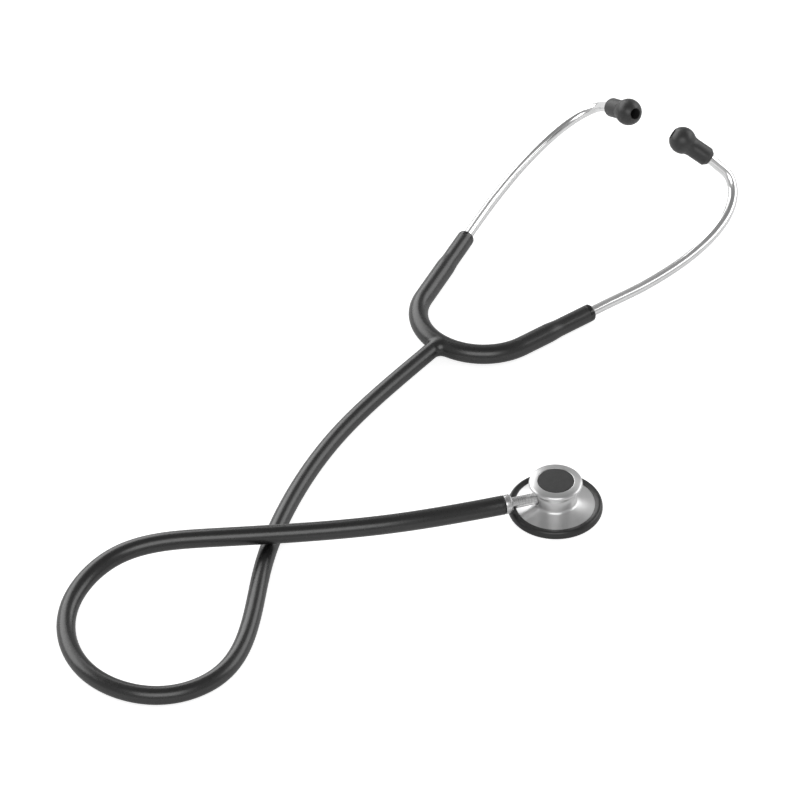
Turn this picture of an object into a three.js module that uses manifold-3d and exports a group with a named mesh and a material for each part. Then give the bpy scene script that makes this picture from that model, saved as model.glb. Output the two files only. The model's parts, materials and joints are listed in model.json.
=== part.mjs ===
// A dual-head stethoscope with a single-lumen tube, lying on a table.
// Millimetres, +Z up. The origin is the centre of the large diaphragm's contact face, on the table,
// and the stem leaves the chest piece along -X. "Left" is the side of the left ear when it is worn.

import * as THREE from "three";
import { mergeVertices } from "three/addons/utils/BufferGeometryUtils.js";
import Module from "manifold-3d";

const wasm = await Module();
wasm.setup();

const radians = THREE.MathUtils.degToRad;
const vec = (x, y, z) => new THREE.Vector3(x, y, z);

// ---------------------------------------------------------------- driving dimensions

const CLEARANCE = 0.1; // between pieces that are pressed or screwed together
const SLIP = 0.15; // between pieces that turn or slide in each other

const ARC_STEPS = 3; // segments in half of a rounded stretch of a turned outline
const FACETS = { head: 32, stem: 20, tube: 12, bore: 8, small: 16 };

const CHEST = {
  rimRadius: 23,
  height: 18.2, // contact face to contact face
  flangeRadius: 21.2,
  flareRadius: 19.2, // where the flare meets the rubber rim
  flareFoot: 3.6,
  neckRadius: 10.1,
  neckFoot: 6.8,
  neckTop: 13.3,
  bossRadius: 9.6, // the threaded boss under the retaining ring
  lipRadius: 13, // widest part of the retaining ring
  windowRadius: 8.7, // visible part of the small diaphragm
};

const STEM = {
  height: 9.3, // of its axis over the table
  radius: 2.75,
  boreRadius: 1.3,
  innerEnd: 0.8, // distances along the stem, from the chest piece's axis
  collarStart: 22.4,
  collarEnd: 25.9,
  nippleEnd: 37.5,
  collarRadius: 4.7,
  nippleRadius: 2.7,
  pinAt: 2.2,
  ballAt: 5,
  portAt: 7.8,
};

const DETENT = {
  ballRadius: 1.2,
  drop: 0.35, // travel of the ball from riding on the stem to the bottom of its dimple
  boreRadius: 1.3,
  springStart: 5.5, // distances from the stem's axis
  springEnd: 7,
  screwStart: 7.3,
  screwEnd: 8.9,
};

// The dowel that holds the stem in: it passes beside the stem's axis, through a groove.
const PIN = { radius: 0.5, offset: 2.6, grooveRadius: 1.9, grooveHalf: 0.65, bottom: -5, top: 3 };

const HOSE = { wall: 1.9, radiusAtYoke: 4.15, radiusAtStem: 4.7 };

const YOKE = {
  bend: 32, // radius of the U
  legAngle: radians(14), // of each leg to the axis of the U
  radius: 4.9, // over the leaf spring
  endRadius: 4.45, // beyond the leaf spring
  lumenRadius: 3.5,
  bandLength: 3,
  thickEnd: 28.8, // where a leg starts to narrow, and where it stops, back from its end
  thinStart: 20.3,
};

// The two legs differ in length, and each ear tube sits in its leg with a little twist.
const SIDES = [
  { label: "left", side: 1, legLength: 55.2, twist: radians(1.9) },
  { label: "right", side: -1, legLength: 44.7, twist: radians(7.4) },
];

// The tube's own origin lies on the leg's axis, a little beyond the leg's end.
const EAR_TUBE = { radius: 2.6, wall: 0.7, beyondLeg: 1.2, depthInLeg: 34, depthInTip: 12 };
const EAR_TIP = { length: 24, ballRadius: 7, ballAt: 17.3, skirtRadius: 5, skirtEnd: 9.8 };
const EAR_TIP_MOUTH = { depth: 1.7, length: 2.1 }; // its bevel
const SPRING = { thickness: 0.6, width: 2.4, offset: 2.6 };

const BEND_RANGE = radians(12); // sideways, at each bending place of the hose
const LIFT_RANGE = radians(20); // upwards, at the two lifting places
const SPREAD_RANGE = radians(15);

// The hose's centreline from the yoke to the stem. It rests on the table, and its second strand
// climbs over the first one. A joint turns the hose by no more than its range at that point.
const HOSE_POINTS = [
  { at: vec(-17.9, 128.4, 6.1) },
  { at: vec(-47.2, 108.6, 5), range: LIFT_RANGE },
  { at: vec(-86, 78, 4.4), range: BEND_RANGE },
  { at: vec(-120, 40, 4.4) },
  { at: vec(-147, -3, 4.4), range: BEND_RANGE },
  { at: vec(-165, -42, 4.4) },
  { at: vec(-189, -70.5, 4.5), range: BEND_RANGE },
  { at: vec(-215, -74.8, 4.6) },
  { at: vec(-242, -55, 4.7) },
  { at: vec(-248.5, -28, 4.8), range: BEND_RANGE },
  { at: vec(-238.5, 1, 6) },
  { at: vec(-212, 19, 10) },
  { at: vec(-169, 14, 13.7), range: BEND_RANGE },
  { at: vec(-125, 4.6, 13.7) },
  { at: vec(-80, -1.7, 13.2), range: BEND_RANGE },
  { at: vec(-50, -0.8, 10.6), range: LIFT_RANGE },
  { at: vec(-38, 0, 9.5) },
  { at: vec(-26, 0, STEM.height) },
];

// The yoke and its legs lie in one gently sloping plane, seen from the bottom of the U: +X along
// the axis of the U, +Y to the left ear.
const BINAURAL = { origin: vec(-16.6, 126.3, 6.1), heading: radians(35.3), slope: radians(1.1) };

// The free part of an ear tube, from its origin: +X along the leg, +Y outwards, +Z up.
const EAR_TUBE_POINTS = [
  vec(-EAR_TUBE.depthInLeg, 0, 0),
  vec(-14, 0, 0),
  vec(-2, 0, 0),
  vec(8, 0, 0),
  vec(38, -0.3, -0.3),
  vec(67.3, -3, 1.2),
  vec(88.5, -7.7, 4.2),
  vec(102, -13.6, 8.2),
  vec(108.8, -20, 12.7),
  vec(110.5, -26.2, 17.2),
  vec(107.6, -31.2, 21.2),
];
const EAR_TIP_START = vec(104.35, -35.4, 24.8);
const EAR_TIP_DIRECTION = vec(-0.5, -0.77, 0.4).normalize();

// ---------------------------------------------------------------- materials

const material = (color, roughness, metalness) =>
  new THREE.MeshStandardMaterial({ color, roughness, metalness });

const MATERIALS = {
  aluminium: () => material(0xb9babb, 0.38, 1),
  chrome: () => material(0xe2e4e6, 0.08, 1),
  steel: () => material(0x9b9da0, 0.3, 1),
  pvc: () => material(0x2b2b2c, 0.42, 0),
  glossyPvc: () => material(0x1f1f20, 0.25, 0),
  rubber: () => material(0x333334, 0.6, 0),
  silicone: () => material(0x4b4b4c, 0.7, 0),
  darkDisc: () => material(0x3f4041, 0.55, 0),
  clearResin: () => material(0xd9d8d0, 0.35, 0),
};

// ---------------------------------------------------------------- geometry helpers

function toSolid(geometry) {
  const bare = geometry.clone();
  bare.deleteAttribute("normal");
  bare.deleteAttribute("uv");
  const merged = mergeVertices(bare);
  return new wasm.Manifold(
    new wasm.Mesh({
      numProp: 3,
      vertProperties: merged.attributes.position.array,
      triVerts: new Uint32Array(merged.index.array),
    }),
  );
}

function toGeometry(solid) {
  const { vertProperties, triVerts } = solid.getMesh();
  const geometry = new THREE.BufferGeometry();
  geometry.setAttribute("position", new THREE.BufferAttribute(vertProperties, 3));
  geometry.setIndex(new THREE.BufferAttribute(triVerts, 1));
  geometry.computeVertexNormals();
  return geometry;
}

const joined = (...shapes) => toGeometry(shapes.map(toSolid).reduce((all, next) => all.add(next)));

const without = (shape, ...tools) =>
  toGeometry(tools.map(toSolid).reduce((left, tool) => left.subtract(tool), toSolid(shape)));

// A body of revolution about +Z, from an outline of (radius, height).
function turned(outline, facets) {
  return new THREE.LatheGeometry(outline.getPoints(ARC_STEPS), facets).rotateX(Math.PI / 2);
}

// Turns a shape made along +Z so that it runs along +X.
const alongX = (shape) => shape.rotateY(Math.PI / 2);

const rod = (radius, length, facets = FACETS.small) =>
  new THREE.CylinderGeometry(radius, radius, length, facets);

// A rod along a row axis, from one coordinate on it to the other.
function rodX(radius, from, to, facets) {
  return rod(radius, Math.abs(to - from), facets)
    .rotateZ(Math.PI / 2)
    .translate((from + to) / 2, 0, 0);
}
function rodY(radius, from, to, facets) {
  return rod(radius, Math.abs(to - from), facets).translate(0, (from + to) / 2, 0);
}
function rodZ(radius, from, to, facets) {
  return rod(radius, Math.abs(to - from), facets)
    .rotateX(Math.PI / 2)
    .translate(0, 0, (from + to) / 2);
}

// The corners of a regular polygon drawn inside a circle.
function circlePoints(radius, facets) {
  return Array.from({ length: facets }, (_, corner) => {
    const angle = (2 * Math.PI * corner) / facets;
    return new THREE.Vector2(radius * Math.cos(angle), radius * Math.sin(angle));
  });
}

// A solid or hollow round bar swept along a curve.
function swept(curve, steps, radius, boreRadius = 0, facets = FACETS.tube) {
  const section = new THREE.Shape(circlePoints(radius, facets));
  if (boreRadius > 0) {
    section.holes.push(new THREE.Path(circlePoints(boreRadius, FACETS.bore)));
  }
  return new THREE.ExtrudeGeometry(section, { steps, extrudePath: curve, bevelEnabled: false });
}

// The stretch of a curve between two distances along it.
class Stretch extends THREE.Curve {
  constructor(whole, from, to) {
    super();
    this.whole = whole;
    this.from = from;
    this.to = to;
  }
  getPoint(t, target) {
    const distance = THREE.MathUtils.lerp(this.from, this.to, t);
    return this.whole.getPointAt(distance / this.whole.getLength(), target);
  }
}

function mesh(name, geometry, makeMaterial) {
  const made = new THREE.Mesh(geometry, makeMaterial());
  made.name = name;
  return made;
}

// ---------------------------------------------------------------- chest piece

// One turned body: a flared base with the bell cavity under it, a neck, and a threaded boss.
function chestBody() {
  const seat = 1.5;
  const shoulder = 3;
  const flangeTop = 14.9;
  const flangeRadius = 11.3;
  const bossTop = 16.8;
  const outline = new THREE.Path()
    .moveTo(0, 3.8)
    .lineTo(4, 3.8)
    .lineTo(18.5, seat)
    .lineTo(CHEST.flangeRadius, seat)
    .lineTo(CHEST.flangeRadius, shoulder)
    .lineTo(CHEST.flareRadius, shoulder)
    .lineTo(CHEST.flareRadius, CHEST.flareFoot)
    .quadraticCurveTo(14, 4.5, 10.8, 6.1)
    .quadraticCurveTo(CHEST.neckRadius, 6.2, CHEST.neckRadius, CHEST.neckFoot)
    .lineTo(CHEST.neckRadius, CHEST.neckTop)
    .quadraticCurveTo(CHEST.neckRadius, 14, flangeRadius, 14.1)
    .lineTo(flangeRadius, flangeTop)
    .lineTo(CHEST.bossRadius, flangeTop)
    .lineTo(CHEST.bossRadius, bossTop)
    .lineTo(8.2, bossTop)
    .lineTo(7.5, 16.2)
    .lineTo(2, 15.4)
    .lineTo(0, 15.4);

  // The cuts are made about the stem's axis. The ports run from the bell cavity to the top.
  const boreEnd = 0.5;
  const mouthDepth = 1.6;
  const mouthRadius = STEM.radius + 0.6;
  const portFoot = -6.5;
  const portTop = 6.8;
  const stemBore = rodX(STEM.radius + SLIP, boreEnd, -CHEST.lipRadius, FACETS.stem);
  const mouth = rodX(mouthRadius, mouthDepth - CHEST.neckRadius, -CHEST.lipRadius, FACETS.stem);
  const detentBore = rodY(DETENT.boreRadius, 0, CHEST.lipRadius).translate(-STEM.ballAt, 0, 0);
  const ports = rodZ(1.1, portFoot, portTop).translate(-STEM.portAt, 0, 0);
  const pinHole = rodZ(PIN.radius + SLIP, portFoot, PIN.top + 0.3).translate(-STEM.pinAt, PIN.offset, 0);
  const cuts = [stemBore, mouth, detentBore, ports, pinHole].map((tool) =>
    tool.translate(0, 0, STEM.height),
  );
  return mesh("chest_body", without(turned(outline, FACETS.head), ...cuts), MATERIALS.aluminium);
}

// A stiff disc whose edge is stepped up, so that the rubber lip below it stays off the contact face.
function largeDiaphragm() {
  const outline = new THREE.Path()
    .moveTo(0, 0)
    .lineTo(19.4, 0)
    .lineTo(19.75, 0.95)
    .lineTo(CHEST.flangeRadius - CLEARANCE, 0.95)
    .lineTo(CHEST.flangeRadius - CLEARANCE, 1.4)
    .lineTo(19.4, 1.4)
    .lineTo(19, 0.45)
    .lineTo(0, 0.45);
  return mesh("large_diaphragm", turned(outline, FACETS.head), MATERIALS.clearResin);
}

// A rubber ring of C section, gripping the flange and the diaphragm's edge.
function diaphragmRim() {
  const groove = CHEST.flangeRadius + CLEARANCE;
  const outline = new THREE.Path()
    .moveTo(20.1, 0.3)
    .lineTo(20.7, 0.1)
    .lineTo(21.6, 0.1)
    .quadraticCurveTo(CHEST.rimRadius, 0.5, CHEST.rimRadius, 2)
    .quadraticCurveTo(CHEST.rimRadius, 4.3, 21.7, 4.3)
    .lineTo(CHEST.flareRadius + 0.2, 3.75)
    .lineTo(CHEST.flareRadius + 0.2, 3.15)
    .lineTo(groove, 3.15)
    .lineTo(groove, 0.85)
    .lineTo(20.1, 0.85)
    .closePath();
  return mesh("diaphragm_rim", turned(outline, FACETS.head), MATERIALS.rubber);
}

// The aluminium ring that screws on the boss and holds the small diaphragm.
function retainingRing() {
  const threadRadius = CHEST.bossRadius + SLIP;
  const windowEdge = CHEST.windowRadius + CLEARANCE;
  const outline = new THREE.Path()
    .moveTo(threadRadius, 15.1)
    .lineTo(11.5, 15.1)
    .quadraticCurveTo(CHEST.lipRadius, 15.2, CHEST.lipRadius, 16.4)
    .quadraticCurveTo(CHEST.lipRadius, 17.6, 12, 17.75)
    .lineTo(windowEdge, 18.1)
    .lineTo(windowEdge, 17.45)
    .lineTo(threadRadius, 17.45)
    .closePath();
  return mesh("retaining_ring", turned(outline, FACETS.head), MATERIALS.aluminium);
}

// A dark disc, flush with the ring, its edge stepped down under the ring's lip.
function smallDiaphragm() {
  const edgeRadius = 9.5;
  const edgeTop = 17.3;
  const edgeBottom = 16.95;
  const outline = new THREE.Path()
    .moveTo(0, CHEST.height - 0.45)
    .lineTo(8.3, CHEST.height - 0.45)
    .lineTo(8.45, edgeBottom)
    .lineTo(edgeRadius, edgeBottom)
    .lineTo(edgeRadius, edgeTop)
    .lineTo(CHEST.windowRadius, edgeTop)
    .lineTo(CHEST.windowRadius - 0.05, CHEST.height)
    .lineTo(0, CHEST.height);
  return mesh("small_diaphragm", turned(outline, FACETS.head), MATERIALS.darkDisc);
}

// ---------------------------------------------------------------- stem, its pin and its detent

// The stem's axis is local +Z here, away from the chest piece, with the hose nipple at its end.
function stem() {
  const grooveStart = STEM.pinAt - PIN.grooveHalf;
  const grooveEnd = STEM.pinAt + PIN.grooveHalf;
  const barb = STEM.nippleRadius + 0.2;
  const outline = new THREE.Path()
    .moveTo(0, STEM.innerEnd)
    .lineTo(STEM.radius, STEM.innerEnd)
    .lineTo(STEM.radius, grooveStart)
    .lineTo(PIN.grooveRadius, grooveStart)
    .lineTo(PIN.grooveRadius, grooveEnd)
    .lineTo(STEM.radius, grooveEnd)
    .lineTo(STEM.radius, STEM.collarStart)
    .lineTo(STEM.collarRadius - 0.8, STEM.collarStart)
    .lineTo(STEM.collarRadius, STEM.collarStart + 0.8)
    .lineTo(STEM.collarRadius, STEM.collarEnd)
    .lineTo(STEM.nippleRadius, STEM.collarEnd)
    .lineTo(STEM.nippleRadius, STEM.nippleEnd - 3)
    .lineTo(barb, STEM.nippleEnd - 3)
    .lineTo(STEM.nippleRadius - 0.3, STEM.nippleEnd)
    .lineTo(0, STEM.nippleEnd);
  const bore = rodZ(STEM.boreRadius, STEM.portAt - 1.5, STEM.nippleEnd + 1);
  // One side port: which of the two passages it meets depends on the turn of the chest piece.
  const port = rodX(1, 0, STEM.radius + 1).translate(0, 0, STEM.portAt);
  const dimple = (side) =>
    new THREE.SphereGeometry(DETENT.ballRadius + CLEARANCE, FACETS.small, 10).translate(
      0,
      side * (STEM.radius + DETENT.ballRadius - DETENT.drop),
      STEM.ballAt,
    );
  const body = without(turned(outline, FACETS.stem), bore, port, dimple(1), dimple(-1));
  const made = mesh("stem", body, MATERIALS.aluminium);
  made.rotation.y = -Math.PI / 2;
  return made;
}

function detentBall() {
  const riding = STEM.radius + DETENT.ballRadius + 0.05;
  const made = mesh("detent_ball", new THREE.SphereGeometry(DETENT.ballRadius, 14, 10), MATERIALS.steel);
  made.position.set(-STEM.ballAt, riding, 0);
  return made;
}

class Helix extends THREE.Curve {
  constructor(radius, turns, start, end) {
    super();
    Object.assign(this, { radius, turns, start, end });
  }
  getPoint(t, target = new THREE.Vector3()) {
    const angle = 2 * Math.PI * this.turns * t;
    const along = THREE.MathUtils.lerp(this.start, this.end, t);
    return target.set(this.radius * Math.cos(angle), along, this.radius * Math.sin(angle));
  }
}

function detentSpring() {
  const wire = 0.17;
  const coil = new Helix(0.85, 3, DETENT.springStart, DETENT.springEnd);
  const made = mesh("detent_spring", swept(coil, 30, wire, 0, 6), MATERIALS.steel);
  made.position.x = -STEM.ballAt;
  return made;
}

// A grub screw with a hexagon socket, just below the surface of the neck.
function detentScrew() {
  const socketDepth = 0.9;
  const body = rodY(DETENT.ballRadius, DETENT.screwStart, DETENT.screwEnd);
  const socket = rodY(0.6, DETENT.screwEnd - socketDepth, DETENT.screwEnd + 1, 6);
  const made = mesh("detent_screw", without(body, socket), MATERIALS.steel);
  made.position.x = -STEM.ballAt;
  return made;
}

// A dowel that passes the stem on one side, in the stem's groove, and stops it from pulling out.
function retainingPin() {
  const made = mesh("retaining_pin", rodZ(PIN.radius, PIN.bottom, PIN.top, 12), MATERIALS.steel);
  made.position.set(-STEM.pinAt, PIN.offset, 0);
  return made;
}

function chestPiece() {
  const onStemAxis = new THREE.Group().add(
    stem(),
    detentBall(),
    detentSpring(),
    detentScrew(),
    retainingPin(),
  );
  onStemAxis.position.z = STEM.height;
  return new THREE.Group().add(
    chestBody(),
    largeDiaphragm(),
    diaphragmRim(),
    retainingRing(),
    smallDiaphragm(),
    onStemAxis,
  );
}

// ---------------------------------------------------------------- hose

// A natural cubic spline: a bent springy rod through points, whose curvature has no jumps.
class SpringyCurve extends THREE.Curve {
  constructor(points) {
    super();
    this.points = points;
    this.arcLengthDivisions = 1000;
    const gaps = points.slice(1).map((point, index) => point.distanceTo(points[index]));
    const slopes = gaps.map((gap, index) =>
      points[index + 1].clone().sub(points[index]).divideScalar(gap),
    );
    this.knots = [0];
    gaps.forEach((gap, index) => this.knots.push(this.knots[index] + gap));

    // Second derivatives at the points, from the tridiagonal system of the spline.
    this.bends = points.map(() => vec(0, 0, 0));
    const shares = points.map(() => 0);
    for (let index = 1; index < gaps.length; index += 1) {
      const before = gaps[index - 1];
      const pivot = 2 * (before + gaps[index]) - before * shares[index - 1];
      shares[index] = gaps[index] / pivot;
      this.bends[index]
        .subVectors(slopes[index], slopes[index - 1])
        .multiplyScalar(6)
        .addScaledVector(this.bends[index - 1], -before)
        .divideScalar(pivot);
    }
    for (let index = gaps.length - 1; index > 0; index -= 1) {
      this.bends[index].addScaledVector(this.bends[index + 1], -shares[index]);
    }
  }

  getPoint(t, target = new THREE.Vector3()) {
    const { points, knots, bends } = this;
    const place = t * knots.at(-1);
    const after = THREE.MathUtils.clamp(
      knots.findIndex((knot) => knot >= place),
      1,
      points.length - 1,
    );
    const gap = knots[after] - knots[after - 1];
    const share = (place - knots[after - 1]) / gap;
    const rest = 1 - share;
    return target
      .lerpVectors(points[after - 1], points[after], share)
      .addScaledVector(bends[after - 1], ((rest ** 3 - rest) * gap ** 2) / 6)
      .addScaledVector(bends[after], ((share ** 3 - share) * gap ** 2) / 6);
  }

  // Distance along the curve of one of its points.
  distanceTo(index) {
    const t = this.knots[index] / this.knots.at(-1);
    return this.getLengths()[Math.round(t * this.arcLengthDivisions)];
  }
}

const hoseCurve = new SpringyCurve(HOSE_POINTS.map((point) => point.at));
const hoseLength = hoseCurve.getLength();

const hoseRadiusAt = (distance) =>
  THREE.MathUtils.lerp(HOSE.radiusAtYoke, HOSE.radiusAtStem, distance / hoseLength);

// Room for two cut faces to turn towards each other about the point between them.
const halfGap = (radius, range) => radius * Math.tan(range / 2) + 0.25;

// The cuts through the hose, each one where a joint bends it.
const hoseCuts = HOSE_POINTS.map((point, index) => ({
  ...point,
  distance: hoseCurve.distanceTo(index),
})).filter((point) => point.range);

const SEGMENT = 11; // length of the straight facets along the hose

// The hose is flexible: here it is a chain of rigid hollow links with a gap at every cut.
function hoseLinks() {
  return hoseCuts.map((cut, index) => {
    const next = hoseCuts[index + 1];
    const radius = hoseRadiusAt(next ? (cut.distance + next.distance) / 2 : hoseLength);
    const from = cut.distance + halfGap(radius, cut.range);
    const to = next ? next.distance - halfGap(radius, next.range) : hoseLength - CLEARANCE;
    const bore = next ? radius - HOSE.wall : STEM.nippleRadius + 0.65;
    const steps = Math.ceil((to - from) / SEGMENT);
    const shape = swept(new Stretch(hoseCurve, from, to), steps, radius, bore);
    return mesh(`hose_link_${index + 1}`, shape, MATERIALS.pvc);
  });
}

// ---------------------------------------------------------------- yoke and leaf spring

// The angle that the U turns through from its bottom to the start of a leg.
const bendAngle = Math.PI / 2 - YOKE.legAngle;
const legGap = halfGap(YOKE.radius, SPREAD_RANGE);
const U_STEPS = 16;

// The U between its two cuts, in the binaural plane.
class UBend extends THREE.Curve {
  getPoint(t, target = new THREE.Vector3()) {
    const reach = bendAngle - legGap / YOKE.bend;
    const angle = THREE.MathUtils.lerp(-reach, reach, t);
    return target.set(YOKE.bend * (1 - Math.cos(angle)), YOKE.bend * Math.sin(angle), 0);
  }
}

// A fillet between the U and the hose: a flared ring along +X, flattened to the U's thickness.
function neckFillet() {
  const width = 7.6;
  const length = 7;
  const height = YOKE.radius - 0.2;
  const outline = new THREE.Path()
    .moveTo(0, 0)
    .lineTo(width, 0)
    .quadraticCurveTo(HOSE.radiusAtYoke, 2, HOSE.radiusAtYoke - CLEARANCE, length)
    .lineTo(0, length);
  return alongX(turned(outline, FACETS.small)).scale(1, 1, height / width);
}

// The U and the first stretch of the hose are one moulding with a T-shaped lumen.
function yokeTube(binaural) {
  const uBend = new UBend();
  const [first] = hoseCuts;
  const neckEnd = first.distance - halfGap(HOSE.radiusAtYoke, first.range);
  const neck = new Stretch(hoseCurve, 0, neckEnd);
  const neckBore = new Stretch(hoseCurve, 0, neckEnd + 1);
  const inBinaural = (shape) => shape.applyMatrix4(binaural.matrixWorld);

  // The fillet starts inside the wall of the U and follows the hose's first direction.
  const fillet = neckFillet().translate(YOKE.lumenRadius, 0, 0);
  const outwards = neck.getTangent(0);
  fillet.applyQuaternion(new THREE.Quaternion().setFromUnitVectors(vec(1, 0, 0), outwards));
  fillet.translate(...neck.getPoint(0));

  const outside = joined(
    inBinaural(swept(uBend, U_STEPS, YOKE.radius)),
    swept(neck, 4, HOSE.radiusAtYoke),
    fillet,
  );
  const shortBore = HOSE.radiusAtYoke - HOSE.wall;
  const lumen = joined(
    inBinaural(swept(overrun(uBend), U_STEPS, YOKE.lumenRadius)),
    swept(neckBore, 4, shortBore, 0, FACETS.bore),
  );
  return mesh("yoke_tube", without(outside, lumen), MATERIALS.pvc);
}

// The same U, run on a little past both ends, for a tool that cuts right through them.
function overrun(uBend) {
  const longer = new THREE.Curve();
  longer.getPoint = (t, target) => uBend.getPoint(THREE.MathUtils.lerp(-0.02, 1.02, t), target);
  return longer;
}

// The strip's bow lies in the U's lumen, on the inner side, clear of the hose's opening.
function springBow() {
  const reach = bendAngle - legGap / YOKE.bend;
  const inner = YOKE.bend - SPRING.offset - SPRING.thickness / 2;
  const outer = inner + SPRING.thickness;
  const outline = new THREE.Shape();
  outline.absarc(0, 0, outer, Math.PI - reach, Math.PI + reach);
  outline.absarc(0, 0, inner, Math.PI + reach, Math.PI - reach, true);
  const strip = new THREE.ExtrudeGeometry(outline, {
    depth: SPRING.width,
    curveSegments: U_STEPS,
    bevelEnabled: false,
  });
  const made = mesh("spring_bow", strip, MATERIALS.steel);
  made.position.set(YOKE.bend, 0, -SPRING.width / 2);
  return made;
}

// ---------------------------------------------------------------- one leg, ear tube and ear tip

// Shapes of a leg run along local +X from the point where the leg spreads.
function legTube(name, length) {
  const end = length - YOKE.bandLength - CLEARANCE;
  const tightRadius = EAR_TUBE.radius + SLIP;
  const outline = new THREE.Path()
    .moveTo(YOKE.lumenRadius, legGap)
    .lineTo(YOKE.radius, legGap)
    .lineTo(YOKE.radius, length - YOKE.thickEnd)
    .lineTo(YOKE.endRadius, length - YOKE.thinStart)
    .lineTo(YOKE.endRadius, end)
    .lineTo(tightRadius, end)
    .lineTo(tightRadius, length - YOKE.thinStart)
    .lineTo(YOKE.lumenRadius, length - YOKE.thickEnd)
    .closePath();
  return mesh(name, alongX(turned(outline, FACETS.small)), MATERIALS.pvc);
}

function legBand(name, length) {
  const start = length - YOKE.bandLength;
  const inner = EAR_TUBE.radius + SLIP;
  const outline = new THREE.Path()
    .moveTo(inner, start)
    .lineTo(YOKE.endRadius, start)
    .lineTo(YOKE.endRadius, length - 1)
    .quadraticCurveTo(YOKE.endRadius, length, YOKE.endRadius - 1, length)
    .lineTo(inner, length)
    .closePath();
  return mesh(name, alongX(turned(outline, FACETS.small)), MATERIALS.glossyPvc);
}

// The strip's arm, on the leg's inner side, with its end rolled into a ring round the ear tube.
function springArm(name, side, tubeOrigin) {
  const tubeStart = tubeOrigin - EAR_TUBE.depthInLeg;
  const ringStart = tubeStart - 1.6;
  const ringEnd = tubeStart + 4;
  const stripEnd = tubeStart - 0.3;
  const outline = new THREE.Path()
    .moveTo(EAR_TUBE.radius + SLIP, ringStart)
    .lineTo(YOKE.lumenRadius - 0.2, ringStart)
    .lineTo(YOKE.lumenRadius - 0.2, ringEnd)
    .lineTo(EAR_TUBE.radius + SLIP, ringEnd)
    .closePath();
  const ring = alongX(turned(outline, FACETS.small));
  const strip = new THREE.BoxGeometry(stripEnd - legGap, SPRING.thickness, SPRING.width);
  strip.translate((stripEnd + legGap) / 2, -side * SPRING.offset, 0);
  return mesh(name, joined(ring, strip), MATERIALS.steel);
}

const onSide = (point, side) => vec(point.x, side * point.y, point.z);

// The whole ear tube: straight in the leg, then bending out, up and in to the ear tip.
function earTube(name, side) {
  const straightEnd = [0, 3, EAR_TUBE.depthInTip].map((depth) =>
    EAR_TIP_START.clone().addScaledVector(EAR_TIP_DIRECTION, depth),
  );
  const points = [...EAR_TUBE_POINTS, ...straightEnd];
  const centreline = new THREE.CatmullRomCurve3(
    points.map((point) => onSide(point, side)),
    false,
    "centripetal",
  );
  const bore = EAR_TUBE.radius - EAR_TUBE.wall;
  return mesh(name, swept(centreline, 30, EAR_TUBE.radius, bore), MATERIALS.chrome);
}

// A soft ball with a sound hole, on a skirt that grips the tube; its axis is local +Z.
function earTip(name, side) {
  const bore = EAR_TUBE.radius + SLIP + 0.05;
  const { length, ballRadius, ballAt, skirtRadius, skirtEnd } = EAR_TIP;
  const noseAngle = Math.asin((length - ballAt) / ballRadius);
  const backAngle = radians(-38);
  const outline = new THREE.Path()
    .moveTo(bore + 0.3, 0)
    .lineTo(skirtRadius - EAR_TIP_MOUTH.depth, 0)
    .lineTo(skirtRadius, EAR_TIP_MOUTH.length)
    .lineTo(skirtRadius, skirtEnd)
    .quadraticCurveTo(
      skirtRadius,
      skirtEnd + 2,
      ballRadius * Math.cos(backAngle),
      ballAt + ballRadius * Math.sin(backAngle),
    )
    .absarc(0, ballAt, ballRadius, backAngle, noseAngle)
    .lineTo(bore, length)
    .lineTo(bore, 4)
    .closePath();
  const made = mesh(name, turned(outline, FACETS.stem), MATERIALS.silicone);
  made.position.copy(onSide(EAR_TIP_START, side));
  made.quaternion.setFromUnitVectors(vec(0, 0, 1), onSide(EAR_TIP_DIRECTION, side));
  return made;
}

// A leg turns about the point where it leaves the U, and its ear tube twists about the leg.
function leg({ label, side, legLength, twist }) {
  const tubeAndTip = new THREE.Group().add(
    earTube(`${label}_ear_tube`, side),
    earTip(`${label}_ear_tip`, side),
  );
  const tubeOrigin = legLength + EAR_TUBE.beyondLeg;
  tubeAndTip.position.x = tubeOrigin;
  tubeAndTip.rotation.x = twist;
  const group = new THREE.Group().add(
    legTube(`${label}_leg_tube`, legLength),
    legBand(`${label}_leg_band`, legLength),
    springArm(`${label}_spring_arm`, side, tubeOrigin),
    tubeAndTip,
  );
  const start = vec(YOKE.bend * (1 - Math.cos(bendAngle)), YOKE.bend * Math.sin(bendAngle), 0);
  group.position.copy(onSide(start, side));
  group.rotation.z = side * YOKE.legAngle;
  return group;
}

// ---------------------------------------------------------------- assembly

function placeBinaural() {
  const group = new THREE.Group();
  group.position.copy(BINAURAL.origin);
  group.rotation.set(0, BINAURAL.slope, BINAURAL.heading, "ZYX");
  group.updateMatrixWorld(true);
  return group;
}

const binaural = placeBinaural();
binaural.add(springBow(), ...SIDES.map(leg));

const group = new THREE.Group().add(chestPiece(), ...hoseLinks(), yokeTube(binaural), binaural);

export default group;
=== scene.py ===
"""Looks of a dual-head stethoscope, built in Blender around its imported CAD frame.

Places and main sizes are measured on the frame: the hose and the ear tubes are swept through the
middles of the CAD sweeps' rings of corners, and turned pieces take their sizes from their nodes.
Metres, +Z up. The origin is the middle of the large diaphragm's contact face, on the table.
"""

import json
import math

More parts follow.
